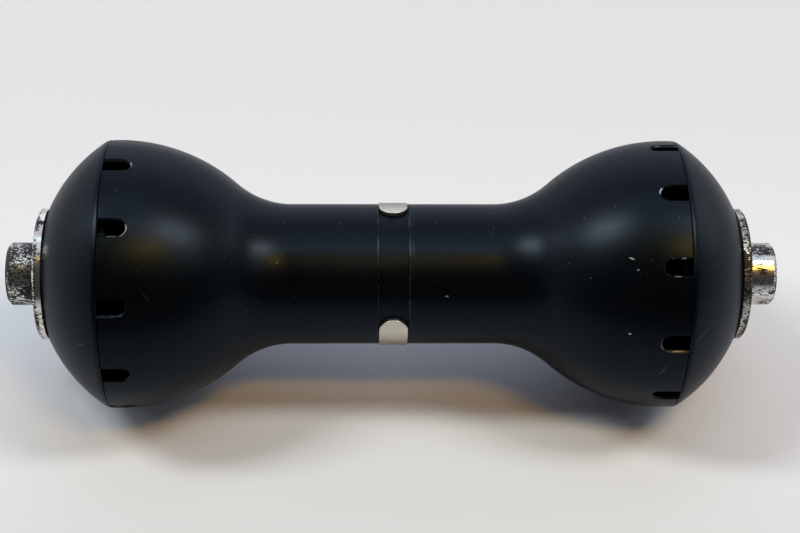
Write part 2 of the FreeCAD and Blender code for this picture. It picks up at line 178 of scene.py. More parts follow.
# %% Numbers written as Python
class Amount:
    """A number that a node gives out. Python's operators on it add Math nodes."""

    def __init__(self, nodes, socket):
        self.nodes = nodes
        self.socket = socket

    def maths(self, operation, *values):
        sockets = dict(enumerate(values))
        return self.nodes.number("ShaderNodeMath", {"operation": operation}, sockets)

    def __add__(self, other):
        return self.maths("ADD", self, other)

    def __radd__(self, other):
        return self.maths("ADD", other, self)

    def __sub__(self, other):
        return self.maths("SUBTRACT", self, other)

    def __rsub__(self, other):
        return self.maths("SUBTRACT", other, self)

    def __mul__(self, other):
        return self.maths("MULTIPLY", self, other)

    def __rmul__(self, other):
        return self.maths("MULTIPLY", other, self)

    def __truediv__(self, other):
        return self.maths("DIVIDE", self, other)

    def __rtruediv__(self, other):
        return self.maths("DIVIDE", other, self)

    def __pow__(self, other):
        return self.maths("POWER", self, other)

    def __abs__(self):
        return self.maths("ABSOLUTE", self)

    def smaller_of(self, other):
        return self.maths("MINIMUM", self, other)

    def larger_of(self, other):
        return self.maths("MAXIMUM", self, other)

    def remainder(self, other):
        return self.maths("FLOORED_MODULO", self, other)

    def ramp(self, low, high):
        """0 below low, 1 above high and a soft step between. With low above high it falls instead."""
        settings = {"interpolation_type": "SMOOTHSTEP"}
        sockets = {"Value": self, "From Min": low, "From Max": high}
        return self.nodes.number("ShaderNodeMapRange", settings, sockets, "Result")


print("operators on Amount:", ", ".join(n for n in vars(Amount) if n.startswith("__") and n != "__init__"))

# %% [markdown]
# `Nodes` fills one tree. Its `add` takes a node's type, then its settings, then what goes into its sockets. A
# plain value is set on the socket, and an `Amount` or another node's output is linked to it.

# %% The nodes of one tree
class Nodes:
    """Adds nodes to one tree: settings first, then the values or links of the sockets."""

    def __init__(self, tree):
        tree.nodes.clear()
        self.tree = tree

    def add(self, kind, settings=None, sockets=None):
        node = self.tree.nodes.new(kind)
        for name, value in (settings or {}).items():
            setattr(node, name, value)
        for name, value in (sockets or {}).items():
            self.feed(node.inputs[name], value)
        return node

    def feed(self, socket, value):
        if isinstance(value, Amount):
            value = value.socket
        if isinstance(value, bpy.types.NodeSocket):
            self.tree.links.new(value, socket)
        else:
            socket.default_value = value

    def number(self, kind, settings=None, sockets=None, output=0):
        return Amount(self, self.add(kind, settings, sockets).outputs[output])


def new_tree(name, inputs):
    """An empty geometry tree with a geometry input and output and the given named inputs."""
    tree = bpy.data.node_groups.new(name, "GeometryNodeTree")
    tree.interface.new_socket("Geometry", in_out="INPUT", socket_type="NodeSocketGeometry")
    for label, kind in inputs.items():
        tree.interface.new_socket(label, in_out="INPUT", socket_type=kind)
    tree.interface.new_socket("Geometry", in_out="OUTPUT", socket_type="NodeSocketGeometry")
    print(f"tree {name} takes: {', '.join(inputs)}")
    return Nodes(tree)


# %% [markdown]
# All geometry trees here end alike. Edges sharper than `Crease` stay crisp, and all others are shaded smooth,
# so chamfers read as chamfers. An Edge Split modifier gives the same look, but it cuts the mesh open there.
# After that the mesh is made real and gets its finish. `grown` runs a tree on a piece and keeps what comes
# out as a plain mesh, so that nothing live is left on the piece.

# %% How every geometry tree ends
CREASE = math.radians(24)


def shaded(tree, mesh, crease):
    """Smooth faces, with the edges sharper than crease left crisp."""
    angle = tree.number("GeometryNodeInputMeshEdgeAngle")
    sharp = tree.add("FunctionNodeCompare", {"operation": "GREATER_THAN"}, {0: angle, 1: crease})
    sockets = {"Geometry": mesh, "Shade Smooth": True}
    faces = tree.add("GeometryNodeSetShadeSmooth", {"domain": "FACE"}, sockets)
    sockets = {"Geometry": faces.outputs[0], "Selection": sharp.outputs[0], "Shade Smooth": False}
    return tree.add("GeometryNodeSetShadeSmooth", {"domain": "EDGE"}, sockets).outputs[0]


def ends(tree, mesh, material):
    """The close of every tree: real geometry with its finish on."""
    real = tree.add("GeometryNodeRealizeInstances", None, {0: mesh})
    dressed = tree.add("GeometryNodeSetMaterial", None, {"Geometry": real.outputs[0], "Material": material})
    tree.add("NodeGroupOutput", None, {0: dressed.outputs[0]})


def grown(piece, tree, settings):
    """Runs a tree on a piece with the given inputs, and keeps the result as the piece's plain mesh."""
    modifier = piece.modifiers.new(tree.tree.name, "NODES")
    modifier.node_group = tree.tree
    for socket in tree.tree.interface.items_tree:
        if socket.in_out == "INPUT" and socket.name in settings:
            modifier[socket.identifier] = settings[socket.name]
    piece.update_tag()
    evaluated = piece.evaluated_get(bpy.context.evaluated_depsgraph_get())
    mesh = bpy.data.meshes.new_from_object(evaluated)
    piece.modifiers.remove(modifier)
    old = piece.data
    piece.data = mesh
    bpy.data.meshes.remove(old)
    mesh.name = piece.name
    print(f"{piece.name}: {len(mesh.vertices)} points, {len(mesh.polygons)} faces")
    return piece


print(f"edges sharper than {math.degrees(CREASE):.0f} degrees stay crisp")

# %% [markdown]
# The lathe is a Geometry Nodes tree: the section becomes a curve, which Curve to Mesh carries round a circle.
# The Screw modifier could do it too, but in a tree the slots can be cut in the same place. Curve to Mesh lays
# the section beside its path, so the section is first moved in by the path's own radius.

# %% The lathe
PATH_RADIUS = 20 * MM
LATHE_STEPS = 288
lathe = new_tree("lathe", {
    "Steps": "NodeSocketInt",
    "Crease": "NodeSocketFloat",
    "Finish": "NodeSocketMaterial",
})


def build_lathe(tree):
    given = tree.add("NodeGroupInput").outputs
    section = tree.add("GeometryNodeMeshToCurve", None, {"Mesh": given["Geometry"]})
    circle = {"Resolution": given["Steps"], "Radius": PATH_RADIUS}
    path = tree.add("GeometryNodeCurvePrimitiveCircle", None, circle)
    moved = {0: section.outputs[0], "Translation": (-PATH_RADIUS, 0.0, 0.0)}
    beside_path = tree.add("GeometryNodeTransform", None, moved)
    swept = tree.add("GeometryNodeCurveToMesh", None, {0: path.outputs[0], 1: beside_path.outputs[0]})
    laid_down = {0: swept.outputs[0], "Rotation": (math.pi / 2, 0.0, 0.0)}
    along_y = tree.add("GeometryNodeTransform", None, laid_down)
    ends(tree, shaded(tree, along_y.outputs[0], given["Crease"]), given["Finish"])


build_lathe(lathe)

# %% [markdown]
# Every finish reads Object coordinates, so a pattern stays on its piece when the piece turns. Generated
# coordinates would be stretched to each piece's own box. The hub's patterns mostly follow its axis: turning
# marks are rings, wear sits at a radius or a height, and the slots repeat round it. So each finish starts
# with the same few numbers: height along the axis, distance from it, and angle about it.

# %% What every finish starts from
class Finish(Nodes):
    """A material's tree, with the position on the piece in millimetres."""

    def __init__(self, name):
        self.material = bpy.data.materials.new(name)
        self.material.use_nodes = True
        super().__init__(self.material.node_tree)
        seen = self.add("ShaderNodeTexCoord").outputs["Object"]
        scaled = self.add("ShaderNodeVectorMath", {"operation": "SCALE"}, {0: seen, "Scale": 1 / MM})
        self.place = scaled.outputs[0]
        parts = self.add("ShaderNodeSeparateXYZ", None, {0: self.place}).outputs
        self.x = Amount(self, parts[0])
        self.height = Amount(self, parts[1])
        self.z = Amount(self, parts[2])
        self.radius = (self.x * self.x + self.z * self.z) ** 0.5

    def angle(self):
        """Radians about the hub axis, from +X up to +Z."""
        return self.x.maths("ARCTAN2", self.z, self.x)

    def noise(self, size, detail=2.0, roughness=0.5, place=None, seed=0.0):
        """Cloudy noise about 0.5, with features about size millimetres across."""
        sockets = {"Vector": place or self.place, "W": seed, "Scale": 1 / size, "Detail": detail}
        sockets["Roughness"] = roughness
        return self.number("ShaderNodeTexNoise", {"noise_dimensions": "4D"}, sockets, "Fac")

    def rings(self, pitch):
        """Noise that changes only along the axis, as a lathe tool leaves it."""
        sockets = {"W": self.height, "Scale": 1 / pitch, "Detail": 3.0, "Roughness": 0.7}
        return self.number("ShaderNodeTexNoise", {"noise_dimensions": "1D"}, sockets, "Fac")

    def specks(self, spacing, largest, share, seed=0.0):
        """1 inside sparse round specks, each of its own size, and 0 between them."""
        moved = self.add("ShaderNodeVectorMath", None, {0: self.place, 1: (seed, seed, seed)}).outputs[0]
        cells = self.add("ShaderNodeTexVoronoi", None, {"Vector": moved, "Scale": 1 / spacing}).outputs
        lot = self.number("ShaderNodeSeparateColor", None, {0: cells["Color"]})
        reach = (lot - (1 - share)).larger_of(0.0) * (largest / share / spacing)
        return reach.maths("GREATER_THAN", reach, Amount(self, cells["Distance"]))

    def mixed(self, share, first, second):
        """A colour between two, first where share is 0 and second where it is 1."""
        settings = {"data_type": "RGBA", "clamp_factor": True}
        sockets = {0: share, 6: color_of(first), 7: color_of(second)}
        return self.add("ShaderNodeMix", settings, sockets).outputs[2]

    def bumped(self, depth):
        """A normal for relief whose depth is given in millimetres."""
        return self.add("ShaderNodeBump", None, {"Height": depth * MM}).outputs[0]

    def surface(self, numbers, changing):
        """The shader: numbers that hold all over are set on it, and changing ones are linked to it."""
        shader = self.add("ShaderNodeBsdfPrincipled", None, numbers | changing)
        self.add("ShaderNodeOutputMaterial", None, {0: shader.outputs[0]})
        print("made", self.material.name, "with", len(self.tree.nodes), "nodes")
        return self.material


def color_of(value):
    return (*value, 1.0) if isinstance(value, tuple) else value


def band(value, middle, half_width, softness):
    """1 within half_width of the middle, fading to 0."""
    return abs(value - middle).ramp(half_width + softness, half_width)


def offsets(finish, height, degrees):
    """Millimetres along the axis and round it from one place on the skin."""
    return finish.height - height, (finish.angle() - math.radians(degrees)) * finish.radius


# %% [markdown]
# The shell and covers are satin black anodising: a hard dyed layer on aluminium. Where the layer is knocked
# off, bright aluminium shows. The slots' flared edges are rubbed through on a few stretches, each set by its
# height, angle, reach and strength, and faintly elsewhere. The edge is found by the same rule that cuts the
# slots: the distance from a line that ends in a half circle, repeated round the axis. A painted mask could
# look as real, but it would stay behind if the slots moved.

# %% Wear on the slots' edges
WORN_FROM_RADIUS = 18.70
RUBBED = [
    (-36.0, 62.4, 1.2, 0.9),
    (-37.9, 60.3, 0.8, 0.5),
    (-36.0, 96.8, 0.8, 0.4),
    (35.9, 82.0, 0.8, 0.8),
    (37.9, 86.3, 0.5, 0.5),
    (35.9, 14.5, 1.1, 0.3),
    (37.8, 44.3, 0.6, 0.3),
    (38.6, 51.6, 0.4, 0.6),
]


def slot_distance(finish):
    """Millimetres out from the edge of the nearest slot, and negative inside it."""
    turn = finish.angle() * (180 / math.pi)
    is_left = finish.height.maths("LESS_THAN", finish.height, 0.0)
    first = RIGHT_SLOT_ANGLE + is_left * (slot_step / 2)
    off_centre = ((turn - first) / slot_step + 0.5).remainder(1.0) - 0.5
    across = off_centre * math.radians(slot_step) * finish.radius
    past_end = (abs(finish.height) - slot_round).smaller_of(0.0)
    return (across * across + past_end * past_end) ** 0.5 - SLOT_HALF


def slot_wear(finish):
    """1 on the stretches of the slots' flared edges where the layer has gone."""
    out = slot_distance(finish) + (finish.noise(0.25, 2.0, 0.6) - 0.5) * 0.12
    edge = out.ramp(0.0, 0.04) * out.ramp(0.24, 0.15)
    at_slots = abs(finish.height).ramp(SLOT_END - 0.4, SLOT_END - 0.25)
    on_skin = finish.radius.ramp(WORN_FROM_RADIUS, WORN_FROM_RADIUS + 0.06)
    stretches = finish.noise(1.4, 2.0, 0.6, seed=4.0).ramp(0.52, 0.66) * 0.08
    for height, degrees, reach, share in RUBBED:
        rise, along_arc = offsets(finish, height, degrees)
        near = ((rise * rise + along_arc * along_arc) ** 0.5).ramp(reach, reach * 0.5)
        stretches = stretches.larger_of(near * share)
    return edge * stretches * at_slots * on_skin


print(len(RUBBED), "rubbed stretches on the slots' edges")

# %% [markdown]
# The clip has rubbed broken lines beside its groove. Knocks and hairline scratches are spots at a height and
# an angle about the axis. Each has a length and a lean, and noise makes its edge ragged. A scratch is the
# same as a knock, only longer, thinner and fainter, so one function makes both.

# %% Lines, knocks and scratches
KNOCK_WIDTH = 0.12
SCRATCH_WIDTH = 0.035
KNOCKS = [
    (31.7, 51.7, 0.40, -0.4),
    (32.5, 46.8, 0.18, 0.3),
    (31.7, 18.5, 0.22, 0.2),
    (7.3, 26.9, 0.26, 0.1),
]
SCRATCHES = [
    (41.6, 18.0, 1.3, 0.7),
    (36.6, 1.0, 1.1, 1.1),
    (-33.4, 36.0, 0.9, -0.9),
    (-42.6, 12.0, 0.8, 0.4),
]


def groove_lines(finish):
    """1 on the broken light lines that the clip has rubbed beside its groove."""
    edges = band(abs(finish.height), GROOVE_HALF + 0.07, 0.06, 0.10)
    witness = band(finish.height, 2.50, 0.02, 0.05) + band(finish.height, 2.78, 0.02, 0.05)
    broken = finish.noise(2.4, 4.0, 0.7, seed=7.0).ramp(0.42, 0.62)
    near = band(finish.radius, BARREL_RADIUS, 0.2, 0.1)
    return (edges + witness * 0.5) * broken * near


def nick(finish, height, degrees, length, lean, width):
    """1 inside a short ragged knock, at a height and an angle about the axis."""
    rise, along_arc = offsets(finish, height, degrees)
    along = rise * math.cos(lean) + along_arc * math.sin(lean)
    across = along_arc * math.cos(lean) - rise * math.sin(lean)
    rough_edge = (finish.noise(0.2, 2.0) - 0.5) * 0.8
    reach = (along / length) * (along / length) + (across / width) * (across / width)
    return (reach + rough_edge).ramp(1.1, 0.7)


print(len(KNOCKS), "knocks and", len(SCRATCHES), "scratches")

# %% [markdown]
# The dye swallows the light that gets in, so all that is seen is reflection: weak and a little blue face on,
# stronger and grey at a glancing angle. A dielectric shader alone climbs to bright grey too early. Here most
# of the shader is metallic with a nearly black blue base colour, which stays weak face on, and the grey
# specular tint holds back the climb towards the edge. The covers are duller round their noses, where hands
# and tools touch them.

# %% Black anodising
DYE = (0.0010, 0.0036, 0.0070)
THIN_DYE = (0.0016, 0.0048, 0.0090)
ANODISED_TINT = (0.66, 0.68, 0.71)
BARE_ALUMINIUM = (0.80, 0.79, 0.77)
RUBBED_GREY = (0.10, 0.12, 0.15)
DUST_GREY = (0.11, 0.12, 0.13)


def anodised(name, is_shell):
    """Black anodising with dust, chips and scratches. The shell also has the wear of slots and clip."""
    finish = Finish(name)
    cloud = finish.noise(9.0, 3.0)
    mottle = finish.noise(0.5, 4.0, 0.7)
    grain = finish.noise(0.16, 2.0, 0.6, seed=2.0)
    marks = finish.rings(0.35)
    dust = (finish.specks(1.0, 0.08, 0.6) * 0.5).larger_of(finish.specks(2.5, 0.11, 0.4, 3.0) * 0.8)
    worn = finish.specks(6.0, 0.14, 0.25, 6.0) * finish.noise(0.2, 2.0).ramp(0.42, 0.5)
    for scratch in SCRATCHES:
        worn = worn.larger_of(nick(finish, *scratch, SCRATCH_WIDTH) * 0.12)
    dye = finish.mixed(cloud.ramp(0.3, 0.7), DYE, THIN_DYE)
    if is_shell:
        worn = worn.larger_of(slot_wear(finish))
        for knock in KNOCKS:
            worn = worn.larger_of(nick(finish, *knock, KNOCK_WIDTH) * 0.6)
        dye = finish.mixed(groove_lines(finish) * 0.5, dye, RUBBED_GREY)
    metal = finish.mixed(worn, dye, BARE_ALUMINIUM)
    dull_nose = 0.0 if is_shell else finish.radius.ramp(COVER_HOLE + 1.4, COVER_HOLE + 0.6) * 0.2
    changing = {
        "Base Color": finish.mixed(dust, metal, DUST_GREY),
        "Roughness": 0.35 + (cloud - 0.5) * 0.10 + (grain - 0.5) * 0.12 + dull_nose,
        "Metallic": (0.85 - (mottle - 0.5) * 0.15).larger_of(worn) * (1 - dust),
        "Normal": finish.bumped(grain * 0.006 + marks * 0.0012 - worn * 0.02),
    }
    return finish.surface({"IOR": 1.8, "Specular Tint": color_of(ANODISED_TINT)}, changing)


shell_black = anodised("black_anodising_shell", True)
cover_black = anodised("black_anodising_cover", False)

# %% [markdown]
# The shell is one turned piece: clip groove, barrel, hollow waist arc, bulb, and inside it the spoke well and
# the boss that holds the bearing cup. It is drawn as half a section and completed by its own mirror image.
# Loops of Boolean cuts on a ready mesh would give the same barrel, but a lathe gives even faces that reflect
# cleanly.

# %% The shell's section
def bulb_radius_at(height):
    centre = BULB_RADIUS - BULB_ARC
    return centre + math.sqrt(BULB_ARC**2 - (height - CREST) ** 2)


bulb_centre = (BULB_RADIUS - BULB_ARC, CREST)
waist_centre_r = BARREL_RADIUS + WAIST_FILLET
centres_apart = BULB_ARC + WAIST_FILLET
waist_start = CREST - math.sqrt(centres_apart**2 - (waist_centre_r - bulb_centre[0]) ** 2)
waist_share = WAIST_FILLET / centres_apart
waist_end_r = waist_centre_r + (bulb_centre[0] - waist_centre_r) * waist_share
waist_end_h = waist_start + (CREST - waist_start) * waist_share
seam_radius = bulb_radius_at(SEAM)
well_radius = seam_radius - RIM_WALL
well_floor = SEAM - WELL_DEPTH
well_floor_radius = bulb_radius_at(well_floor) - RIM_WALL


def shell_section():
    half = Section(GROOVE_FLOOR, GROOVE_HALF)
    half.line(BARREL_RADIUS - GROOVE_CHAMFER, GROOVE_HALF)
    half.line(BARREL_RADIUS, GROOVE_HALF + GROOVE_CHAMFER)
    half.line(BARREL_RADIUS, waist_start)
    half.arc((waist_centre_r, waist_start), waist_end_r, waist_end_h)
    chamfer_start = SEAM - SEAM_CHAMFER
    half.arc(bulb_centre, bulb_radius_at(chamfer_start), chamfer_start)
    half.line(seam_radius - SEAM_CHAMFER, SEAM)
    half.line(well_radius, SEAM)
    half.line(well_radius, SLOT_END)
    half.line(well_floor_radius, well_floor + WELL_CORNER)
    half.line(well_floor_radius - WELL_CORNER, well_floor)
    half.line(BOSS_RADIUS, well_floor)
    half.line(BOSS_RADIUS, BOSS_END)
    half.line(CUP_SEAT_RADIUS, BOSS_END)
    half.line(CUP_SEAT_RADIUS, CUP_SEAT_FLOOR)
    half.line(SHELL_BORE, CUP_SEAT_FLOOR)
    half.points += half.mirrored()
    return half


print(f"waist from {waist_start:.2f} to {waist_end_h:.2f}, seam radius {seam_radius:.2f}")
shell = shell_section().outline("shell_skin")
grown(shell, lathe, {"Steps": LATHE_STEPS, "Crease": CREASE, "Finish": shell_black})

# %% [markdown]
# Eleven slots a side let the spokes' heads drop in from the end. Each is a U cut straight out through the rim
# wall, with a small flare where it breaks the surface. Each could be cut by hand, but one closed U-shaped bar
# as the cutter for a whole side keeps them alike.

# %% One slot cutter
WELD = 1e-7
CUTTER_PAST = 1.0
CUTTER_CHORDS = 24


def outwards(mesh):
    """Merges doubles and turns every face outwards."""
    work = bmesh.new()
    work.from_mesh(mesh)
    bmesh.ops.remove_doubles(work, verts=work.verts, dist=WELD)
    bmesh.ops.recalc_face_normals(work, faces=work.faces)
    work.to_mesh(mesh)
    work.free()


def slot_cutter(side):
    """A closed U-shaped bar on +X, flared at its outer end."""
    flare_start = bulb_radius_at(SLOT_END) - SLOT_CHAMFER
    outer = BULB_RADIUS + CUTTER_PAST
    levels = [
        ((BOSS_RADIUS + well_radius) / 2, SLOT_HALF),
        (flare_start, SLOT_HALF),
        (outer, SLOT_HALF + outer - flare_start),
    ]
    points = []
    for distance, half in levels:
        ring = [(SEAM + CUTTER_PAST, -half)]
        for n in range(CUTTER_CHORDS + 1):
            swing = math.pi * n / CUTTER_CHORDS
            ring.append((slot_round - half * math.sin(swing), -half * math.cos(swing)))
        ring.append((SEAM + CUTTER_PAST, half))
        points += [(distance * MM, side * h * MM, z * MM) for h, z in ring]
    count = len(ring)
    faces = [tuple(range(count)), tuple(range(2 * count, 3 * count))]
    for low in (0, count):
        for n in range(count):
            after = (n + 1) % count
            faces.append((low + n, low + after, low + count + after, low + count + n))
    cutter = new_piece("slot_cutter", points, faces=faces)
    outwards(cutter.data)
    print(f"slot cutter with {len(cutter.data.vertices)} points")
    return cutter


# %% [markdown]
# A tree sets copies of the cutter round the axis and takes them away in one cut. A Python loop could do it,
# but in a tree the number of slots stays an input. The two rings stand half a step apart, as spokes do in a
# wheel, so the tree runs twice, each time with its own first angle.

# %% The ring of slots
slot_ring = new_tree("slot_ring", {
    "Cutter": "NodeSocketObject",
    "Slots": "NodeSocketInt",
    "First Angle": "NodeSocketFloat",
    "Crease": "NodeSocketFloat",
    "Finish": "NodeSocketMaterial",
})


def build_slot_ring(tree):
    given = tree.add("NodeGroupInput").outputs
    start = tree.add("GeometryNodeMeshLine", None, {"Count": given["Slots"], "Offset": (0.0, 0.0, 0.0)})
    cutter = tree.add("GeometryNodeObjectInfo", None, {0: given["Cutter"]})
    index = tree.number("GeometryNodeInputIndex")
    turn = 0 - (Amount(tree, given["First Angle"]) + index * (2 * math.pi) / Amount(tree, given["Slots"]))
    swing = tree.add("ShaderNodeCombineXYZ", None, {"Y": turn})
    copies = {"Points": start.outputs[0], "Instance": cutter.outputs["Geometry"]}
    ring = tree.add("GeometryNodeInstanceOnPoints", None, copies | {"Rotation": swing.outputs[0]})
    tools = tree.add("GeometryNodeRealizeInstances", None, {0: ring.outputs[0]})
    settings = {"operation": "DIFFERENCE", "solver": "EXACT"}
    sockets = {"Mesh 1": given["Geometry"], "Mesh 2": tools.outputs[0]}
    cut = tree.add("GeometryNodeMeshBoolean", settings, sockets)
    ends(tree, shaded(tree, cut.outputs[0], given["Crease"]), given["Finish"])


build_slot_ring(slot_ring)
for side, first in ((1, RIGHT_SLOT_ANGLE), (-1, RIGHT_SLOT_ANGLE + slot_step / 2)):
    cutter = slot_cutter(side)
    settings = {"Cutter": cutter, "Slots": SLOTS, "First Angle": math.radians(first)}
    grown(shell, slot_ring, settings | {"Crease": CREASE, "Finish": shell_black})
    bpy.data.objects.remove(cutter)

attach(shell, "rotating_shell")
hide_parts("hub_shell")

# %% [markdown]
# Each end cover is a dome with a wall of 1.8 mm: a tight shoulder that continues the bulb at the seam, a long
# flank arc, and a rounded nose round the hole where the locknut's disc stands. The dome can't be a piece of a
# sphere, because the shoulder's arc has to leave the bulb without a kink.

# %% The covers
crest_lean = math.asin((SEAM - CREST) / BULB_ARC)
shoulder = (
    seam_radius - COVER_SHOULDER * math.cos(crest_lean),
    SEAM - COVER_SHOULDER * math.sin(crest_lean),
)
flank_reach = COVER_FLANK - COVER_SHOULDER
flank = (
    shoulder[0] - flank_reach * math.cos(COVER_SHOULDER_LEAN),
    shoulder[1] - flank_reach * math.sin(COVER_SHOULDER_LEAN),
)


def on_circle(centre, reach, radius):
    """Height of a circle's outer side at a radius."""
    return centre[1] + math.sqrt(reach**2 - (radius - centre[0]) ** 2)


def round_from(centre, reach, lean):
    """The point of a circle in the direction of lean, up from the radius."""
    return centre[0] + reach * math.cos(lean), centre[1] + reach * math.sin(lean)


def cover_section():
    edge = round_from(shoulder, COVER_SHOULDER, crest_lean + SEAM_CHAMFER / COVER_SHOULDER)
    shoulder_end = round_from(flank, COVER_FLANK, COVER_SHOULDER_LEAN)
    nose_r = COVER_HOLE + COVER_NOSE_FILLET
    nose_h = on_circle(flank, COVER_FLANK - COVER_NOSE_FILLET, nose_r)
    share = COVER_FLANK / (COVER_FLANK - COVER_NOSE_FILLET)
    flank_end_r = flank[0] + (nose_r - flank[0]) * share
    cover = Section(seam_radius - SEAM_CHAMFER, SEAM)
    cover.line(*edge)
    cover.arc(shoulder, *shoulder_end, chord_degrees=4)
    cover.arc(flank, flank_end_r, on_circle(flank, COVER_FLANK, flank_end_r), chord_degrees=1)
    cover.arc((nose_r, nose_h), COVER_HOLE, nose_h, chord_degrees=9)
    inner = COVER_FLANK - COVER_WALL
    cover.line(COVER_HOLE, on_circle(flank, inner, COVER_HOLE))
    cover.arc(flank, BOSS_RADIUS, on_circle(flank, inner, BOSS_RADIUS), chord_degrees=4)
    lip = well_radius - COVER_LIP_GAP
    cover.line(BOSS_RADIUS, SEAM - COVER_LIP)
    cover.line(lip, SEAM - COVER_LIP)
    cover.line(lip, SEAM)
    print(f"cover's nose at {nose_h + COVER_NOSE_FILLET:.2f} mm")
    return cover


for side in ("right", "left"):
    section = cover_section()
    if side == "left":
        section.points = section.mirrored()
    cover = section.outline(side + "_cover_skin")
    grown(cover, lathe, {"Steps": LATHE_STEPS, "Crease": CREASE, "Finish": cover_black})
    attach(cover, "rotating_shell")
    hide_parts(side + "_end_cover")

# %% [markdown]
# The discs and the axle's stubs were bright plated steel. The fork's clamp and the weather have pitted them:
# dark pits of a tenth of a millimetre or two that run together, thick on the left end and thin on the right,
# and thicker along the worn outer edges and in a few patches, each given by its height, angle, reach and
# strength. Noise of two sizes, cut off at a level, gives flecks with ragged edges. Voronoi cells would look
# too round.

# %% Pitted plating
PIT_BLACK = (0.014, 0.013, 0.012)
STAIN_BROWN = (0.42, 0.34, 0.26)
THICK_PATCHES = [
    (52.4, 95.0, 2.0, 0.20),
    (53.6, -22.0, 1.5, 0.12),
    (53.9, 9.0, 0.5, 0.14),
    (52.6, 49.0, 0.8, 0.16),
    (49.2, 58.0, 1.6, 0.14),
    (-49.3, 3.0, 2.6, 0.11),
    (-49.3, 93.0, 1.8, 0.12),
]


def stretched_place(finish, scale):
    """The position with its axes scaled, so that a pattern is squeezed or drawn out along them."""
    return finish.add("ShaderNodeMapping", None, {0: finish.place, "Scale": scale}).outputs[0]


def pitted(name, levels, edge, tint, rough):
    """Plating with pits. Levels are their share at the left and right ends, edge the worn edge's height."""
    finish = Finish(name)
    stretched = stretched_place(finish, (1.0, 0.4, 1.0))
    coarse = finish.noise(0.24, 2.0, 0.6, stretched)
    fine = finish.noise(0.11, 1.0, 0.5, stretched, 2.0)
    patches = finish.noise(2.2, 2.0, 0.5, seed=5.0)
    level = levels[0] + finish.height.ramp(-10.0, 10.0) * (levels[1] - levels[0])
    level = level + (patches - 0.5) * 0.35 + abs(finish.height).ramp(edge, edge + 0.5) * 0.13
    for height, degrees, reach, strength in THICK_PATCHES:
        rise, along_arc = offsets(finish, height, degrees)
        off = (rise * rise * 0.3 + along_arc * along_arc) ** 0.5
        level = level + off.ramp(reach, reach * 0.2) * strength
    pits = (level - (coarse * 0.6 + fine * 0.4)).ramp(-0.01, 0.02)
    stain = finish.noise(1.3, 3.0, 0.6, seed=9.0).ramp(0.5, 0.8)
    metal = finish.mixed(stain * 0.45, tint, STAIN_BROWN)
    changing = {
        "Base Color": finish.mixed(pits, metal, PIT_BLACK),
        "Roughness": rough + fine * 0.08 + pits * 0.3,
        "Metallic": 1 - pits * 0.5,
        "Normal": finish.bumped(coarse * 0.008 - pits * 0.03),
    }
    return finish.surface({"IOR": 1.5}, changing)


axle_plating = pitted("pitted_plating_axle", (0.54, 0.42), STUB_END - 0.7, (0.68, 0.67, 0.67), 0.19)
left_plating = pitted("pitted_plating_left", (0.38, 0.38), FORK_FACE - 0.8, (0.80, 0.79, 0.78), 0.16)
right_plating = pitted("pitted_plating_right", (0.51, 0.51), FORK_FACE - 0.5, (0.50, 0.50, 0.45), 0.26)

# %% [markdown]
# The clip is satin spring steel, with fine lines along the band from rolling. They are noise squeezed along
# the axis and drawn out across it, which needs no picture of brushed metal. Its rim below a radius is painted
# shade: black at the top for the shadow in the gap under its ends, and dark grey lower down, painted to look
# like the groove floor beside it. It is found by radius, as it lies where the edge goes down. The other steel
# pieces have the same lines, without the painted shade.

# %% Spring steel
# Colours painted on the clip's rim as shade: black for the shadow in the gap, dark grey like the groove
# floor.
PAINTED_SHADOW_BLACK = (0.004, 0.004, 0.004)
PAINTED_GROOVE_GREY = (0.030, 0.033, 0.036)


def rolled_steel(name, color, rough, edge_tint=(1.0, 1.0, 1.0), shade_top=None):
    """Steel with fine lines round the axis. Below a given radius its colour is painted shade: black, then
    dark grey.
    """
    finish = Finish(name)
    lines = finish.noise(1.2, 3.0, 0.6, stretched_place(finish, (0.2, 6.0, 0.2)))
    cloud = finish.noise(1.5, 2.0)
    tone = finish.mixed(cloud.ramp(0.3, 0.7), color, tuple(c * 0.9 for c in color))
    relief = finish.bumped(lines * 0.004)
    changing = {"Base Color": tone, "Roughness": rough + lines * 0.12, "Normal": relief}
    # Painted shade: below the given radius the rim is coloured black, then dark grey lower down.
    if shade_top:
        painted_shade = finish.radius.ramp(shade_top, shade_top - 0.05)
        groove_look = finish.radius.ramp(shade_top - 0.15, shade_top - 0.25)
        shade_tone = finish.mixed(groove_look, PAINTED_SHADOW_BLACK, PAINTED_GROOVE_GREY)
        changing["Base Color"] = finish.mixed(painted_shade, tone, shade_tone)
        changing["Metallic"] = 1 - painted_shade
    return finish.surface({"Metallic": 1.0, "Specular Tint": color_of(edge_tint)}, changing)


# The clip's rim is painted as shade below this radius.
painted_shade_line = CLIP_OUTER - 0.08
clip_steel = rolled_steel("spring_steel_satin", (0.65, 0.62, 0.54), 0.36, (0.36, 0.36, 0.43), painted_shade_line)

# %% [markdown]
# The pieces inside are seen only through a slot or a gap, or when the hub comes apart. One grey would hide
# what they are, so they get finishes of their own: ground and polished steel where balls run, pressed sheet,
# zinc, nylon and rubber.

# %% Finishes of the pieces that keep their solids
def moulded(name, color, rough, grain_depth):
    """Nylon or rubber with a fine moulded grain."""
    finish = Finish(name)
    grain = finish.noise(0.2, 3.0)
    cloud = finish.noise(2.5)
    tone = finish.mixed(cloud.ramp(0.35, 0.65), color, tuple(c * 0.7 for c in color))
    relief = finish.bumped(grain * grain_depth)
    changing = {"Base Color": tone, "Roughness": rough + grain * 0.1, "Normal": relief}
    return finish.surface({"IOR": 1.5}, changing)


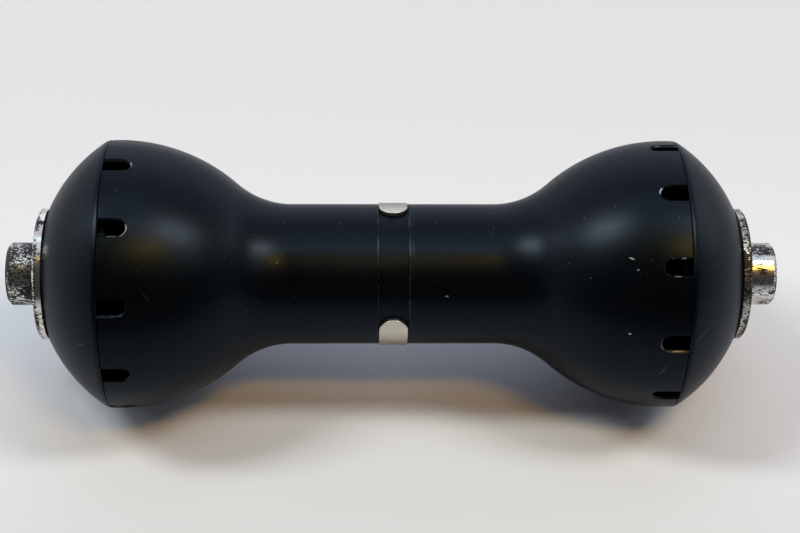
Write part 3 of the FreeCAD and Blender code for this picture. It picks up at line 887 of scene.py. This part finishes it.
finishes = {
    "axle": axle_plating,
    "left_locknut": left_plating,
    "right_locknut": right_plating,
    "cone": rolled_steel("bearing_steel_ground", (0.50, 0.50, 0.49), 0.22),
    "bearing_cup": rolled_steel("bearing_steel_cup", (0.46, 0.46, 0.46), 0.24),
    "balls": rolled_steel("ball_steel_polished", (0.68, 0.68, 0.69), 0.06),
    "dust_cap": rolled_steel("cap_sheet_pressed", (0.40, 0.40, 0.41), 0.3),
    "lock_washer": rolled_steel("washer_zinc", (0.55, 0.55, 0.52), 0.35),
    "ball_retainer": moulded("retainer_nylon", (0.42, 0.37, 0.27), 0.4, 0.004),
    "lip_seal": moulded("seal_rubber_matt", (0.02, 0.02, 0.02), 0.6, 0.006),
}
print(len(finishes), "finishes for the pieces that keep their solids")

# %% [markdown]
# All other pieces but the clip have the right shape already. As packed, they are loose triangles, so each
# would show its facets. A copy of each is welded, and all but its sharp edges are shaded smooth. Most could
# be remade on the lathe, for little gain. The solids are left as they are.

# %% Smooth copies of the solids
eased = new_tree("eased", {"Crease": "NodeSocketFloat", "Finish": "NodeSocketMaterial"})


def build_eased(tree):
    given = tree.add("NodeGroupInput").outputs
    welded = tree.add("GeometryNodeMergeByDistance", None, {"Geometry": given["Geometry"], "Distance": WELD})
    ends(tree, shaded(tree, welded.outputs[0], given["Crease"]), given["Finish"])


def eased_copy(name, finish):
    solid = nodes[name]
    piece = bpy.data.objects.new(name + "_eased", solid.data.copy())
    bpy.context.scene.collection.objects.link(piece)
    piece.data.materials.clear()
    piece.data.attributes.remove(piece.data.attributes["custom_normal"])
    grown(piece, eased, {"Crease": CREASE, "Finish": finish})
    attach(piece, solid["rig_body"])
    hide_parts(name)


build_eased(eased)
for name in sorted(set(nodes) - {"hub_shell", "left_end_cover", "right_end_cover", "grease_port_clip"}):
    eased_copy(name, finishes.get(name) or finishes[name.split("_", 1)[1]])

# %% [markdown]
# The clip is a band most of a turn long, with half-round ends. Its edge has a small round that catches the
# light, so it is built as rings that follow the band's outline, each a little further in as the edge turns
# over. A bevel modifier would do the edge, but not evenly round the tips.

# %% The clip
TIP_CHORDS = 16
BAND_CHORDS = 48
EDGE_CHORDS = 4


def clip_outline(radius, inset):
    """One edge of the band, from tip to tip, as angles from the gap's middle and heights."""
    half = CLIP_HALF - inset
    end = math.radians(CLIP_GAP / 2) + CLIP_HALF / CLIP_OUTER
    side = []
    for n in range(TIP_CHORDS + 1):
        swing = math.pi / 2 * n / TIP_CHORDS
        side.append((end - math.asin(half * math.cos(swing) / radius), half * math.sin(swing)))
    side += [(end + (math.pi - end) * n / BAND_CHORDS, half) for n in range(1, BAND_CHORDS + 1)]
    return side + [(2 * math.pi - angle, height) for angle, height in reversed(side[:-1])]


def clip_levels(edge):
    """Radius and inset of each ring, from the outer face round the edge to the inner face."""
    outer = []
    for n in range(EDGE_CHORDS + 1):
        lean = math.pi / 2 * n / EDGE_CHORDS
        outer.append((CLIP_OUTER - edge * (1 - math.cos(lean)), edge * (1 - math.sin(lean))))
    return outer + [(CLIP_INNER + CLIP_OUTER - radius, inset) for radius, inset in reversed(outer)]


def clip_band():
    """The band as one closed skin: faces between the two edges of a ring, and from ring to ring."""
    levels = clip_levels(CLIP_EDGE)
    points = []
    for radius, inset in levels:
        side = clip_outline(radius, inset)
        for sign in (1, -1):
            for angle, height in side:
                turn = math.radians(CLIP_GAP_DIRECTION) + angle
                place = (radius * math.cos(turn), sign * height, radius * math.sin(turn))
                points.append(tuple(value * MM for value in place))
    count = len(side)
    strips = [(0, count), ((len(levels) - 1) * 2 * count, (len(levels) * 2 - 1) * count)]
    for level in range(len(levels) - 1):
        strips += [((level * 2 + half) * count, (level * 2 + half + 2) * count) for half in (0, 1)]
    faces = [(a + n, a + n + 1, b + n + 1, b + n) for a, b in strips for n in range(count - 1)]
    band_piece = new_piece("clip_band", points, faces=faces)
    outwards(band_piece.data)
    return band_piece


clip = grown(clip_band(), eased, {"Crease": CREASE, "Finish": clip_steel})
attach(clip, "port_clip")
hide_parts("grease_port_clip")

# %% [markdown]
# The hub lies on its bulbs on a smooth white sheet. Its colour is a little darker towards the back. Towards
# the front it is painted darker: a painted shadow, the shade that the camera and the one holding it would
# cast. One flat face is enough, as two soft ramps of colour give that and a fine bump gives the paper its
# tooth. A bent backdrop would show in the glossy bulbs.

# %% The sheet
SHEET_WHITE = (0.645, 0.665, 0.73)
SHEET_AT_BACK = (0.575, 0.588, 0.635)
# Painted shadow: the sheet's tone far in front, as shaded by the camera and the one holding it.
SHEET_PAINTED_SHADOW_IN_FRONT = (0.32, 0.34, 0.385)
SHEET_HALF_WIDTH = 4.0


def floor_finish():
    finish = Finish("white_sheet")
    to_the_back = finish.x.ramp(20.0, -70.0)
    # Painted shadow in front, darkening the sheet towards the camera.
    painted_front_shadow = finish.x.ramp(-10.0, 140.0)
    tone = finish.mixed(to_the_back, SHEET_WHITE, SHEET_AT_BACK)
    tone = finish.mixed(painted_front_shadow, tone, SHEET_PAINTED_SHADOW_IN_FRONT)
    changing = {"Base Color": tone, "Normal": finish.bumped(finish.noise(1.0, 3.0) * 0.004)}
    return finish.surface({"Roughness": 0.75}, changing)


def flat_sheet(name, half_width, height):
    corners = [(-1, -1), (1, -1), (1, 1), (-1, 1)]
    points = [(x * half_width, y * half_width, height) for x, y in corners]
    return new_piece(name, points, faces=[(0, 1, 2, 3)])


floor = flat_sheet("floor", SHEET_HALF_WIDTH, -BULB_RADIUS * MM)
floor.data.materials.append(floor_finish())

# %% [markdown]
# The camera stands in front of the hub and above it, and looks down at 45 degrees. Its place, its lens and
# the picture's two directions, across and down, come from fitting the hub's outline to the photograph. By
# eye, an error in the lens can hide behind one in the distance.

# %% The camera
CAMERA_PLACE = (183.239, -6.117, 184.711)
CAMERA_LENS = 81.56
across = Vector((0.01951367, 0.99961914, 0.01951367))
down = Vector((0.70710678, 0.0, -0.70710678))
onward = across.cross(down)
camera_data = bpy.data.cameras.new("camera")
camera_data.lens = CAMERA_LENS
camera_data.sensor_width = 36.0
camera_data.clip_start = 0.01
camera_data.clip_end = 20.0
camera = bpy.data.objects.new("camera", camera_data)
camera.matrix_world = Matrix((across, -down, -onward)).transposed().to_4x4()
camera.location = Vector(CAMERA_PLACE) * MM
bpy.context.scene.collection.objects.link(camera)
bpy.context.scene.camera = camera
print("camera looks along", [round(v, 4) for v in onward])

# %% [markdown]
# Black gloss shows its surroundings, so the light is set by what the hub reflects. Two long soft lamps hang
# over its ends, and a small one stands low beyond each end. A weaker strip and a weaker panel hang above its
# middle. A warm lamp and two smaller warm ones stand at the front. A lamp's brightness is given as radiance,
# which is what a reflection of it shows, and its power follows from that and its area.

# %% Lamps
LAMP_DISTANCE = 0.9


def lamp(name, direction, width, length, radiance, color):
    """A soft oval lamp aimed at the hub, length along Y, with its brightness given as radiance."""
    light = bpy.data.lights.new(name, "AREA")
    light.shape = "ELLIPSE"
    light.size = width
    light.size_y = length
    light.energy = radiance * math.pi * (math.pi / 4 * width * length)
    light.color = color
    holder = bpy.data.objects.new(name, light)
    aim = Vector(direction).normalized()
    side = Vector((0.0, 1.0, 0.0)).cross(aim).normalized()
    holder.matrix_world = Matrix((side, aim.cross(side), aim)).transposed().to_4x4()
    holder.location = aim * LAMP_DISTANCE
    holder.visible_camera = False
    bpy.context.scene.collection.objects.link(holder)
    print(f"{name}: {light.energy:.2f} W")


lamp("lamp_left", (-0.05, -0.55, 0.83), 0.17, 0.44, 22.5, (0.98, 1.0, 0.91))
lamp("lamp_right", (0.035, 0.53, 0.85), 0.19, 0.44, 16.0, (1.0, 0.99, 0.90))
lamp("lamp_strip", (0.05, 0.08, 1.0), 0.14, 0.45, 4.4, (0.66, 0.92, 1.0))
lamp("lamp_behind", (-0.30, 0.0, 0.95), 0.20, 0.60, 1.25, (0.68, 0.93, 1.0))
lamp("lamp_far_left", (-0.22, -0.88, 0.42), 0.13, 0.17, 7.5, (0.87, 0.93, 1.0))
lamp("lamp_far_right", (-0.23, 0.915, 0.33), 0.17, 0.22, 1.7, (0.93, 1.0, 0.98))
lamp("lamp_warm", (0.355, 0.275, 0.90), 0.12, 0.32, 18.0, (1.0, 0.51, 0.05))
lamp("lamp_warm_left", (0.31, -0.17, 0.935), 0.07, 0.12, 2.0, (1.0, 0.66, 0.20))
lamp("lamp_warm_right", (0.30, 0.68, 0.67), 0.16, 0.20, 2.1, (1.0, 0.93, 0.80))

# %% [markdown]
# The room is the world's shader: soft-edged patches of light that stand for white cards round the sides and
# the back, a wide glow high at the back, and almost nothing in front. A photographed room would be the usual
# way, but these patches say what they are and can be moved one at a time. The camera sees an even pale grey
# instead.

# %% The room round the hub
ROOM_GREY = (0.78, 0.78, 0.78)
BACK_GLOW = ((-0.75, 0.0, 0.65), 5.0, (0.66, 0.66, 0.80))
CARDS = [
    ((0.0, 1.0, 0.17), 9.0, (0.10, 0.15, 0.22)),
    ((-0.34, 0.94, 0.09), 25.0, (1.78, 1.74, 1.55)),
    ((-0.7, 0.7, 0.17), 9.0, (0.84, 0.92, 1.03)),
    ((-1.0, 0.0, 0.17), 9.0, (0.53, 0.61, 0.68)),
    ((-0.7, -0.7, 0.17), 9.0, (0.76, 0.77, 0.83)),
    ((-0.34, -0.94, 0.09), 25.0, (0.96, 0.98, 0.92)),
    ((0.0, -1.0, 0.17), 9.0, (0.57, 0.59, 0.61)),
    ((0.8, 0.0, 0.5), 3.0, (0.04, 0.04, 0.04)),
]


def glow(room, seen, direction, sharpness, color):
    """A soft-edged patch of light in the room, brightest along a direction."""
    sockets = {0: seen, 1: Vector(direction).normalized()}
    close = room.number("ShaderNodeVectorMath", {"operation": "DOT_PRODUCT"}, sockets, "Value")
    strength = close.maths("EXPONENT", (close - 1) * sharpness)
    sockets = {0: color, "Scale": strength}
    return room.add("ShaderNodeVectorMath", {"operation": "SCALE"}, sockets).outputs[0]


def surroundings():
    world = bpy.data.worlds.new("room")
    world.use_nodes = True
    bpy.context.scene.world = world
    room = Nodes(world.node_tree)
    seen = room.add("ShaderNodeTexCoord").outputs["Generated"]
    total = glow(room, seen, *BACK_GLOW)
    for card in CARDS:
        sockets = {0: total, 1: glow(room, seen, *card)}
        total = room.add("ShaderNodeVectorMath", {"operation": "ADD"}, sockets).outputs[0]
    to_camera = room.add("ShaderNodeLightPath").outputs["Is Camera Ray"]
    sockets = {0: to_camera, 6: total, 7: color_of(ROOM_GREY)}
    shown = room.add("ShaderNodeMix", {"data_type": "RGBA"}, sockets).outputs[2]
    light = room.add("ShaderNodeBackground", None, {"Color": shown})
    room.add("ShaderNodeOutputWorld", None, {0: light.outputs[0]})
    print("the room has", len(CARDS), "cards and a glow at the back")


surroundings()
bpy.context.scene.view_settings.view_transform = "Standard"

# %% [markdown]
# The dressed hub has to keep the solids' size.
